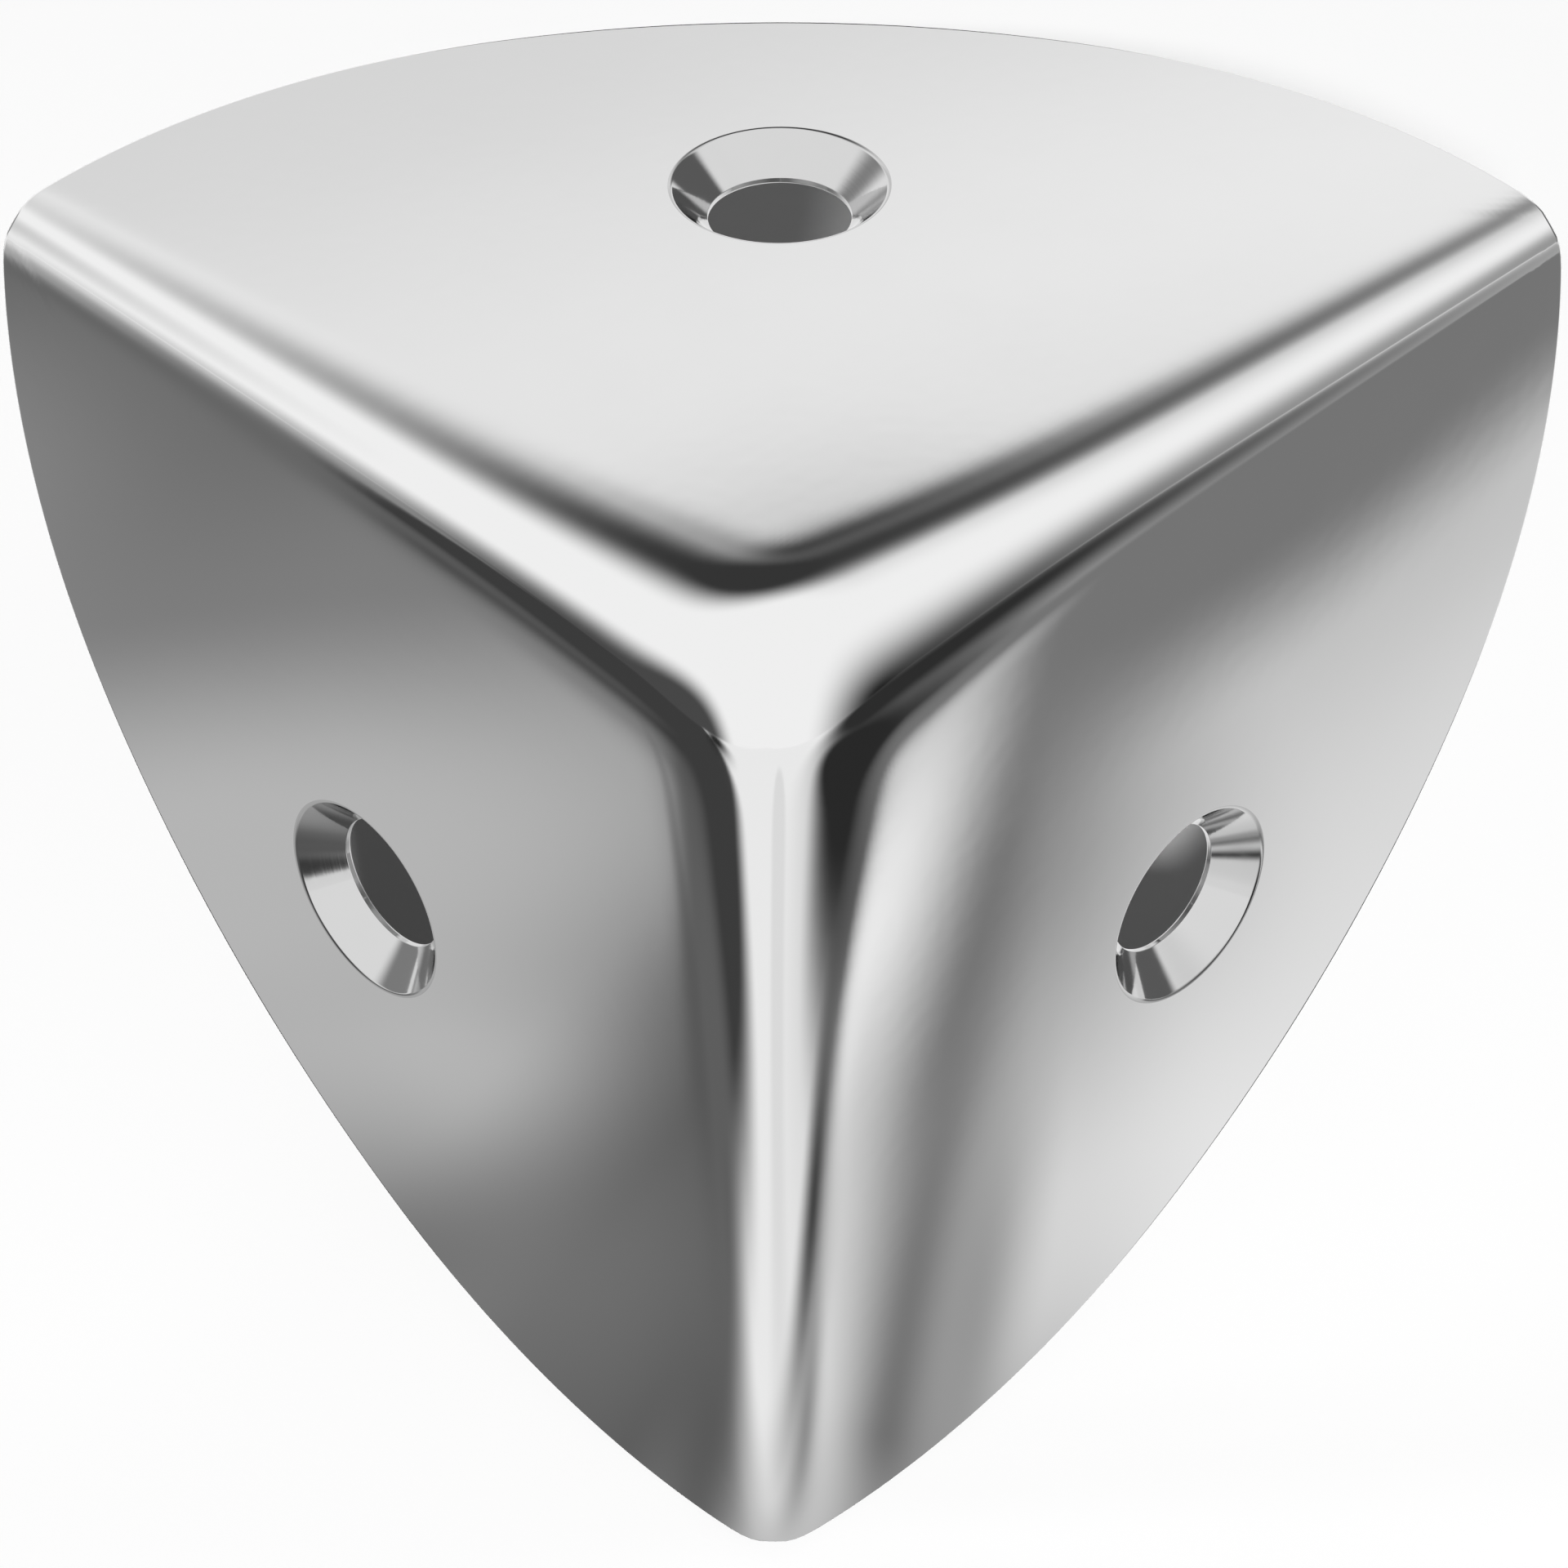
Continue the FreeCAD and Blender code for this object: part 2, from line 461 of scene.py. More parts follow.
@dataclass
class PressedShell:
    """The case corner itself: three flanges drawn from one sheet.

    A flange is laid out in its own coordinates: along one fold, along the other, and the
    depth below its outer face, all from the outer corner point. Rays run out from its hole's
    axis to its folds and its rim. Lengths are millimetres and angles radians.
    """

    leg: float = 40.0  # reach of a flange along its folds
    bulge: float = 2.5  # how much further it reaches in its middle
    shoulder: float = math.radians(30)  # from a fold to where the outline's rounder end stops
    sheet: float = 1.6  # thickness
    hole: float = 5.3  # diameter of a screw hole
    mouth: float = 8.0  # diameter of a countersink at the outer face
    reach: float = 21.5  # from the sharp folds to a hole's axis

    # The folds' rounding, measured from the sharp fold to where the flange is flat
    fold_near: float = 7.0  # its width at the corner point, without what the tip adds
    fold_far: float = 3.3  # its width at the rim
    fold_stop: float = 1.05  # the share of the leg from which it stays the same
    tip_extra: float = 3.2  # what the tip adds
    tip_at: float = 2.0  # how far from the corner point it adds most
    tip_spread: float = 10.0  # over what length it dies away
    power: float = 4.0  # 2 would be a circle's arc, and more is fuller with softer ends
    deepest: float = 5.0  # more than the rounding takes off anywhere

    # The small rounds on the edges
    rim_round: float = 0.22
    mouth_round: float = 0.24
    back_round: float = 0.096  # on the hole's edge at the back
    crease: float = 0.02  # from the edge between hole and cone to the rings that hold it

    # How many steps divide it, and how they are spread
    fold_steps: int = 56  # from ray to ray along each fold
    fold_crowding: float = 1.25  # above 1 these are finer near the tip
    rim_steps: int = 90  # from ray to ray along the rim
    near_steps: int = 18  # on the outer face, from the hole to a zone by the folds and the rim
    near_crowding: float = 1.15  # above 1 these are finer near the hole
    edge_steps: int = 30  # across that zone
    edge_zone: float = 9.0  # how wide the zone is
    edge_share: float = 0.6  # the most of a ray that it takes
    back_near_steps: int = 13  # on the back, up to the zone
    back_edge_steps: int = 26  # on the back, across the zone
    round_steps: int = 3  # on the small rounds of a hole
    cone_steps: int = 7  # on the cone of a countersink
    rim_round_steps: int = 4  # on the small rounds of the rim

    # Points that fall in one cell of a grid become one. The grid stands a little aside, so
    # that its walls keep off the round numbers on which points lie.
    weld_size: float = 0.001
    weld_shift: float = 0.00031

    # In the order of the surfaces that they dress
    finishes: tuple[BrightChrome, TurnedChrome, PlatedBack] = (BrightChrome(), TurnedChrome(), PlatedBack())

    @property
    def hole_centre(self) -> np.ndarray:
        """Where the hole's axis meets the flange's outer plane."""
        return np.array([self.reach, self.reach, 0.0])

    @property
    def mouth_edge(self) -> float:
        """The radius at which a countersink's rounded mouth runs out on the outer face."""
        return self.mouth / 2 + self.mouth_round * math.tan(EIGHTH_TURN / 2)

    @property
    def back_edge(self) -> float:
        """The radius at which a hole's rounded edge runs out on the back."""
        return self.hole / 2 + self.back_round

    def blend(self, points: np.ndarray) -> np.ndarray:
        """Finds how wide the folds are rounded.

        Args:
            points: Inward distances from the three outer faces.

        Returns:
            The rounding's width there.
        """
        along = points.sum(axis=-1)
        share = np.clip(along / self.leg, 0, self.fold_stop)
        width = self.fold_near + (self.fold_far - self.fold_near) * share
        return width + self.tip_extra * np.exp(-(((along - self.tip_at) / self.tip_spread) ** 2))

    def outside(self, points: np.ndarray) -> np.ndarray:
        """Tells outside from inside.

        Args:
            points: Inward distances from the three outer faces.

        Returns:
            A number that is above 0 outside the rounded corner and below 0 in it.
        """
        width = self.blend(points)
        short = np.maximum(width[..., None] - points, 0) ** self.power
        return short.sum(axis=-1) - width**self.power

    def onto_surface(self, flat: np.ndarray) -> np.ndarray:
        """Moves points of the sharp corner's faces down the diagonal to the rounded surface.

        Args:
            flat: Points on a flange's plane, with a depth of 0.

        Returns:
            The points on the rounded surface.
        """
        # What is smaller than these is a rounding error
        least_excess, least_drop = 1e-12, 1e-9
        drop = last_passing(
            lambda depth: self.outside(flat + depth[..., None]) > least_excess,
            np.zeros(flat.shape[:-1]),
            np.full(flat.shape[:-1], self.deepest),
        )
        return flat + np.where(drop > least_drop, drop, 0.0)[..., None]

    def normals(self, points: np.ndarray) -> np.ndarray:
        """Finds the outward directions of the rounded surface.

        Args:
            points: Points on it.

        Returns:
            The directions there.
        """
        step = 1e-4
        slopes = [
            self.outside(points + step * axis) - self.outside(points - step * axis) for axis in np.eye(3)
        ]
        found = np.stack(slopes, axis=-1)
        return found / np.linalg.norm(found, axis=-1, keepdims=True)

    def outline(self, angle: np.ndarray) -> np.ndarray:
        """Finds how far a flange reaches.

        Args:
            angle: The angle from its first fold.

        Returns:
            The distance from the corner point to the outline.
        """
        middle = self.leg + self.bulge
        inset = (middle**2 - self.leg**2) / (2 * (middle - self.leg * math.cos(self.shoulder)))
        turn = np.minimum(np.minimum(angle, QUARTER_TURN - angle), self.shoulder) - self.shoulder
        small = middle - inset
        return inset * np.cos(turn) + np.sqrt(small**2 - (inset * np.sin(turn)) ** 2)

    def within_outline(self, points: np.ndarray) -> np.ndarray:
        """Tells which points of a flange lie within its outline.

        Args:
            points: Points on its rounded surface.

        Returns:
            True for those that do.
        """
        along, across = points[..., 0], points[..., 1]
        return np.hypot(along, across) - self.outline(np.arctan2(across, along)) <= 0

    def fold_end(self) -> float:
        """Finds where a fold's line has to stop on the sharp corner to end on the outline.

        Returns:
            The distance from the corner point.
        """
        found = last_passing(
            lambda along: self.within_outline(self.onto_surface(np.array([[along[0], 0.0, 0.0]]))),
            np.zeros(1),
            np.full(1, 2 * self.leg),
        )
        return float(found[0])

    def rays(self) -> tuple[np.ndarray, np.ndarray]:
        """Lays out the rays that run from a flange's hole to its boundary.

        Returns:
            Where each ray ends on the flange's plane, in order round the hole from the tip, and
            which rays end on the rim.
        """
        steps = np.linspace(0, 1, self.fold_steps + 1) ** self.fold_crowding
        fold = np.stack([steps * self.fold_end(), np.zeros_like(steps)], axis=-1)

        # The rim's rays walk out from the hole until they meet the outline
        angles = np.linspace(0, QUARTER_TURN, self.rim_steps + 1)[1:-1]
        aim = np.stack([np.cos(angles), np.sin(angles)], axis=-1) * self.leg - self.reach
        aim /= np.linalg.norm(aim, axis=-1, keepdims=True)
        walk = last_passing(
            lambda far: self.within_outline(self.onto_surface(on_plane(self.reach + aim * far[:, None]))),
            np.full(len(aim), self.mouth),
            np.full(len(aim), 2 * self.leg),
        )
        rim = self.reach + aim * walk[:, None]

        ends = np.concatenate([fold, rim, fold[:0:-1, ::-1]])
        rim_rays = np.arange(self.fold_steps, self.fold_steps + self.rim_steps + 1)
        return ends, rim_rays

    def spacing(self, length: np.ndarray, near: int, edge: int) -> np.ndarray:
        """Divides rays finely near their outer ends.

        Args:
            length: The rays' lengths.
            near: How many steps lie between the hole and the zone by the folds and the rim.
            edge: How many steps lie across that zone.

        Returns:
            Distances from the start of each ray, without the start itself.
        """
        zone = np.minimum(self.edge_zone, self.edge_share * length)[:, None]
        share = np.linspace(0, 1, near + 1)[None, :-1] ** self.near_crowding
        inner = (length[:, None] - zone) * share
        outer = length[:, None] - zone + zone * np.linspace(0, 1, edge + 1)[None]
        return np.concatenate([inner, outer], axis=1)[:, 1:]

    def face_points(
        self, ends: np.ndarray, start: float, near: int, edge: int
    ) -> tuple[np.ndarray, np.ndarray]:
        """Divides the rounded outer surface along the rays.

        Args:
            ends: Where the rays end on the flange's plane.
            start: How far from the hole's axis they start.
            near: How many steps lie between the hole and the zone by the folds and the rim.
            edge: How many steps lie across that zone.

        Returns:
            The points and the outward directions there, by ray and step.
        """
        aim = ends - self.reach
        length = np.linalg.norm(aim, axis=-1)
        aim = on_plane(aim / length[:, None])
        along = self.spacing(length - start, near, edge) + start
        points = self.onto_surface(self.hole_centre + aim[:, None] * along[..., None])
        return points, self.normals(points)

    def rim_frame(self, edge: np.ndarray, normal: np.ndarray) -> np.ndarray:
        """Finds the directions in which the sheet ends along the rim.

        Args:
            edge: The rim's points in order from the first fold to the second.
            normal: The outward directions there.

        Returns:
            Directions along the sheet and square to the rim.
        """
        # Past each fold the rim goes on as its own mirror image
        before = edge[1][[0, 2, 1]][None]
        after = edge[-2][[2, 1, 0]][None]
        padded = np.concatenate([before, edge, after])
        tangent = padded[2:] - padded[:-2]
        away = np.cross(tangent, normal)
        away -= normal * (away * normal).sum(axis=-1, keepdims=True)
        away /= np.linalg.norm(away, axis=-1, keepdims=True)
        return np.where(((edge - self.hole_centre) * away).sum(axis=-1, keepdims=True) > 0, away, -away)

    def hole_profile(self) -> list[tuple[float, float, float]]:
        """Lists a hole's rings from the back up to the outer face.

        Returns:
            Each ring's radius, its depth below the outer face, and how far the outward
            direction there leans from the hole's axis.
        """
        radius = self.hole / 2
        cone = (self.mouth - self.hole) / 2
        rings = []
        for step in range(self.round_steps + 1):
            lean = QUARTER_TURN * step / self.round_steps
            out = self.back_round * (1 - math.sin(lean))
            up = self.back_round * (1 - math.cos(lean))
            rings.append((radius + out, self.sheet - up, math.pi - lean))
        rings.append((radius, cone + self.crease, QUARTER_TURN))
        rings.append((radius + self.crease, cone - self.crease, EIGHTH_TURN))
        for share in np.linspace(0, 1, self.cone_steps + 1)[1:-1]:
            rings.append((radius + cone * share, cone * (1 - share), EIGHTH_TURN))
        for step in range(self.round_steps + 1):
            lean = EIGHTH_TURN * (1 - step / self.round_steps)
            down = self.mouth_round * (1 - math.cos(lean))
            rings.append((self.mouth_edge - self.mouth_round * math.sin(lean), down, lean))
        return rings

    def rim_profile(self) -> list[tuple[float, float, float]]:
        """Lists the steps over the rim's edge: a small round, the thickness, a small round.

        Returns:
            Each step's distance outwards from the outline, its height above the outer face, and
            how far the outward direction there leans from the face's.
        """
        bend = self.rim_round
        leans = [QUARTER_TURN * step / self.rim_round_steps for step in range(1, self.rim_round_steps + 1)]
        upper = [(bend * math.sin(lean) - bend, bend * math.cos(lean) - bend, lean) for lean in leans]
        lower = [
            (bend * math.cos(lean) - bend, -self.sheet + bend - bend * math.sin(lean), QUARTER_TURN + lean)
            for lean in [0.0, *leans[:-1]]
        ]
        return upper + lower

    def flange(self) -> FlangeMesh:
        """Builds one flange with its hole, faces and rim.

        Returns:
            Its mesh, in its own coordinates.
        """
        mesh = FlangeMesh()
        ends, rim = self.rays()

        # mouth_row, face_row and back_row end as the last rows of the hole, face and back
        aim = ends - self.reach
        aim = on_plane(aim / np.linalg.norm(aim, axis=-1)[:, None])
        down = np.array([0.0, 0.0, 1.0])
        for radius, depth, lean in self.hole_profile():
            ring = self.hole_centre + aim * radius + down * depth
            mouth_row = mesh.add_row(ring, -aim * math.sin(lean) - down * math.cos(lean))

        face, face_normal = self.face_points(ends, self.mouth_edge, self.near_steps, self.edge_steps)
        edge, edge_normal = face[rim, -1], face_normal[rim, -1]
        away = self.rim_frame(edge, edge_normal)
        face[rim, -1] -= self.rim_round * away
        for column in range(face.shape[1]):
            face_row = mesh.add_row(face[:, column], face_normal[:, column])

        # The back follows the outer surface one sheet thickness further in
        back, back_normal = self.face_points(ends, self.back_edge, self.back_near_steps, self.back_edge_steps)
        back = back - back_normal * self.sheet
        back[rim, -1] -= self.rim_round * away
        for column in range(back.shape[1]):
            back_row = mesh.add_row(back[:, column], -back_normal[:, column])

        for row in range(face_row):
            mesh.join(row, row + 1, Surface.COUNTERSUNK if row < mouth_row else Surface.POLISHED)
        mesh.join(face_row + 1, 0, Surface.BACK)
        for row in range(face_row + 1, back_row):
            mesh.join(row + 1, row, Surface.BACK)

        # The rim's edge runs from the last row of the face to the last row of the back
        steps = [
            mesh.add_row(
                edge + away * out + edge_normal * up,
                away * math.sin(lean) + edge_normal * math.cos(lean),
            )
            for out, up, lean in self.rim_profile()
        ]
        chains = [
            [mesh.at(face_row, ray), *(mesh.at(step, place) for step in steps), mesh.at(back_row, ray)]
            for place, ray in enumerate(rim)
        ]
        for chain, following in zip(chains, chains[1:]):
            for corners in zip(chain, following, following[1:], chain[1:]):
                mesh.add_face(corners, Surface.POLISHED)
        return mesh

    def weld(self) -> tuple[np.ndarray, np.ndarray, list[list[int]], list[Surface]]:
        """Turns one flange into three and joins them along the folds.

        Returns:
            The points as inward distances from the three outer faces, the outward directions
            there, the faces and what each is.
        """
        flange = self.flange()
        points, directions = np.concatenate(flange.points), np.concatenate(flange.directions)
        # A flange's own axes are along, across and depth, and each flange is the last one
        # turned about the corner's diagonal
        turns = ([0, 1, 2], [2, 0, 1], [1, 2, 0])
        inward = np.concatenate([points[:, turn] for turn in turns])
        outward = np.concatenate([directions[:, turn] for turn in turns])

        cells = np.floor((inward + self.weld_shift) / self.weld_size).astype(np.int64)
        _, first, which = np.unique(cells, axis=0, return_index=True, return_inverse=True)
        which = which.reshape(-1)
        faces, surfaces = [], []
        for turn in range(len(turns)):
            for corners, surface in zip(flange.faces, flange.surfaces):
                welded = [int(which[turn * len(points) + corner]) for corner in corners]
                unique = list(dict.fromkeys(welded))
                if len(unique) > 2:
                    # Depth is turned over, so the faces are too
                    faces.append(unique[::-1])
                    surfaces.append(surface)
        return inward[first], outward[first], faces, surfaces

    def build(self) -> bpy.types.Object:
        """Makes the shell and dresses it.

        Returns:
            The finished shell.
        """
        inward, outward, faces, surfaces = self.weld()
        corner = np.array([-self.sheet, -self.sheet, self.sheet])
        signs = np.array([1.0, 1.0, -1.0])
        places = (corner + inward * signs) * MM
        normals = outward * signs
        normals /= np.linalg.norm(normals, axis=-1, keepdims=True)

        mesh = bpy.data.meshes.new("corner_shell_plated")
        mesh.from_pydata(places.tolist(), [], faces)
        mesh.polygons.foreach_set("material_index", [surface.value for surface in surfaces])
        mesh.polygons.foreach_set("use_smooth", [True] * len(faces))
        for finish in self.finishes:
            mesh.materials.append(finish.material())
        mesh.update()
        mesh.normals_split_custom_set_from_vertices(normals.tolist())

        # Each point belongs to the hole whose axis is nearest
        from_axes = [np.delete(inward - self.reach, axis, axis=1) for axis in range(3)]
        nearest = np.min([np.linalg.norm(spots, axis=1) for spots in from_axes], axis=0)
        mesh.attributes.new(AXIS_DISTANCE, "FLOAT", "POINT").data.foreach_set("value", nearest * MM)
        shell = bpy.data.objects.new("corner_shell_plated", mesh)
        bpy.context.scene.collection.objects.link(shell)
        return shell


@dataclass(frozen=True)
class SoftCard:
    """One soft-edged oval of a plain tone, seen in reflections.

    Its centre and its two axes are vectors. A point is in the oval where its distance from
    the centre, measured in these axes, is below 1. A far card also has the direction that it
    hangs in, so that it isn't seen on the opposite side too.
    """

    tone: str
    centre: tuple[float, float, float]
    right: tuple[float, float, float]
    up: tuple[float, float, float]
    softness: float = 0.5
    facing: tuple[float, float, float] | None = None

    @classmethod
    def on_mat(
        cls,
        tone: str,
        centre: tuple[float, float],
        half: tuple[float, float],
        turn: float = 0.0,
        softness: float = 0.5,
    ) -> "SoftCard":
        """Lays an oval on the mat.

        Args:
            tone: Its colour.
            centre: Its middle, in millimetres.
            half: Half its length and half its width, in millimetres.
            turn: The angle of its length from +X, in degrees.
            softness: The share of its radius over which it fades.

        Returns:
            The card.
        """
        t = math.radians(turn)
        length, width = half[0] * MM, half[1] * MM
        return cls(
            tone,
            (centre[0] * MM, centre[1] * MM, 0.0),
            (math.cos(t) / length, math.sin(t) / length, 0.0),
            (-math.sin(t) / width, math.cos(t) / width, 0.0),
            softness,
        )

    @classmethod
    def in_sky(
        cls,
        tone: str,
        azimuth: float,
        elevation: float,
        half: tuple[float, float],
        turn: float = 0.0,
        softness: float = 0.5,
    ) -> "SoftCard":
        """Hangs an oval in a direction, far away.

        Args:
            tone: Its colour.
            azimuth: Degrees from +Y towards +X.
            elevation: Degrees above the horizon.
            half: Half its width and half its height, in degrees.
            turn: How far it is turned, in degrees.
            softness: The share of its radius over which it fades.

        Returns:
            The card.
        """
        a, e, t = math.radians(azimuth), math.radians(elevation), math.radians(turn)
        towards = Vector((math.sin(a) * math.cos(e), math.cos(a) * math.cos(e), math.sin(e)))
        side = Vector((math.cos(a), -math.sin(a), 0.0))
        over = side.cross(towards)
        wide, high = (math.sin(math.radians(h)) for h in half)
        right = (side * math.cos(t) + over * math.sin(t)) / wide
        up = (over * math.cos(t) - side * math.sin(t)) / high
        return cls(tone, (0.0, 0.0, 0.0), tuple(right), tuple(up), softness, tuple(towards))

    def over(self, tree: Tree, place: Socket, below: Socket) -> Socket:
        """Paints the oval over what is there.

        Args:
            tree: The node tree.
            place: The point or the direction that is looked at.
            below: The colour so far.

        Returns:
            The colour with the oval.
        """
        shifted = node(tree, "ShaderNodeVectorMath", {"operation": "SUBTRACT"}, i0=place, i1=self.centre)
        wide, high = (dot(tree, shifted.outputs["Vector"], axis) for axis in (self.right, self.up))
        spread = node(tree, "ShaderNodeCombineXYZ", X=wide, Y=high).outputs["Vector"]
        far = node(tree, "ShaderNodeVectorMath", {"operation": "LENGTH"}, i0=spread).outputs["Value"]
        cover = remap(tree, far, (1 - self.softness, 1.0), (1.0, 0.0), smooth=True)
        if self.facing:
            ahead = dot(tree, place, self.facing)
            cover = calculate(tree, "MULTIPLY", cover, calculate(tree, "GREATER_THAN", ahead, 0.0))
        return mix(tree, cover, below, linear(self.tone))


# The cards that lie round the shell, from the first laid to the last. The left flange mirrors
# the mat towards -X and +Y, the right flange towards +X and -Y, and the upright fold what lies
# between. Lengths are millimetres and turns are degrees from +X.
MAT_CARDS = (
    # Far right: the grey below the right fold's dark line
    SoftCard.on_mat("545454", centre=(135, -235), half=(275, 160), turn=95, softness=1.0),
    # Far left: the dark line below the left fold
    SoftCard.on_mat("3C3C3C", centre=(-230, 155), half=(285, 95), turn=-30, softness=1.0),
    # The left flange's plain grey, darkest at its outer end
    SoftCard.on_mat("707070", centre=(-65, 80), half=(60, 175), turn=-115, softness=0.9),
    # The sharp dark line down the left flange's side of the upright fold
    SoftCard.on_mat("404040", centre=(-205, 75), half=(210, 75), turn=-20, softness=0.1),
    # The same line where it bends round the tip
    SoftCard.on_mat("2C2C2C", centre=(-205, -15), half=(120, 35), turn=-5, softness=0.8),
    # The left flange next to its upper fold
    SoftCard.on_mat("888888", centre=(-35, 45), half=(40, 25), turn=20, softness=0.9),
    # The pale bloom round the left hole
    SoftCard.on_mat("C0C0C0", centre=(-10, 45), half=(45, 20), turn=30, softness=0.8),
    # The dark foot of the left flange
    SoftCard.on_mat("646464", centre=(-12, 12), half=(65, 14), turn=-15, softness=0.7),
    # The left flange's outer corner
    SoftCard.on_mat("6C6C6C", centre=(-35, 95), half=(85, 25), turn=45, softness=1.0),
    # The right flange's bright outer half
    SoftCard.on_mat("FFFFFF", centre=(65, 10), half=(60, 35), turn=5, softness=0.3),
    # The light grey that leads into it
    SoftCard.on_mat("C0C0C0", centre=(40, -55), half=(20, 70), turn=30, softness=0.6),
    # The dark line below the right fold
    SoftCard.on_mat("303030", centre=(75, -160), half=(105, 190), turn=15, softness=0.7),
    # The black line down the right flange's side of the upright fold
    SoftCard.on_mat("2C2C2C", centre=(25, -70), half=(35, 65), turn=-5, softness=0.5),
    # The grey band that runs up the right flange beside the bright one
    SoftCard.on_mat("5C5C5C", centre=(-1, 3), half=(77, 4), turn=-39, softness=1.0),
    # The slanting grey across the right flange's upper end
    SoftCard.on_mat("7C7C7C", centre=(105, -51), half=(92, 18), turn=-14, softness=0.3),
    # The bright band beside the black line
    SoftCard.on_mat("F8F8F8", centre=(27, -25), half=(35, 5), turn=-32, softness=1.0),
    # The faint grey line that divides the upright fold
    SoftCard.on_mat("E8E8E8", centre=(-35, -54), half=(78, 9), turn=55, softness=0.5),
    # The black line's lower end
    SoftCard.on_mat("484848", centre=(9, -18), half=(26, 7), turn=-47, softness=1.0),
    # The grey middle of the left flange's lower edge, and the left countersink's upper end
    SoftCard.on_mat("7C7C7C", centre=(-2, 20), half=(22, 14), turn=43, softness=1.0),
    # The foot of the black line
    SoftCard.on_mat("989898", centre=(3, -7), half=(11, 3), turn=-49, softness=1.0),
    # The grey beside it at the right flange's foot
    SoftCard.on_mat("A0A0A0", centre=(12, -5), half=(23, 3), turn=-35, softness=1.0),
)

# The cards that hang far round the set. Azimuths are degrees from +Y towards +X.
SKY_CARDS = (
    # The top flange's pale grey
    SoftCard.in_sky("E4E4E4", azimuth=36, elevation=26, half=(78, 9), turn=-10, softness=0.6),
    # The top flange's edge next to its folds
    SoftCard.in_sky("C4C4C4", azimuth=60, elevation=50, half=(60, 25), turn=-5, softness=1.0),
    # The dark line above both upper folds
    SoftCard.in_sky("383838", azimuth=36, elevation=58, half=(44, 21), turn=-22, softness=0.7),
    # Its soft start behind the tip
    SoftCard.in_sky("484848", azimuth=47, elevation=42, half=(9, 8), turn=40, softness=1.0),
    # The dark line between the left flange and the tip
    SoftCard.in_sky("4C4C4C", azimuth=-75, elevation=-20, half=(45, 35), turn=95, softness=0.4),
    # The black line between the right flange and the tip
    SoftCard.in_sky("101010", azimuth=155, elevation=-10, half=(40, 60), turn=5, softness=1.0),
    # The grey sectors of the top and the right countersink
    SoftCard.in_sky("686868", azimuth=105, elevation=13, half=(44, 28), turn=-40, softness=0.3),
    # The grey sectors of the top and the left countersink
    SoftCard.in_sky("909090", azimuth=-22, elevation=8, half=(27, 32), turn=25, softness=0.5),
)


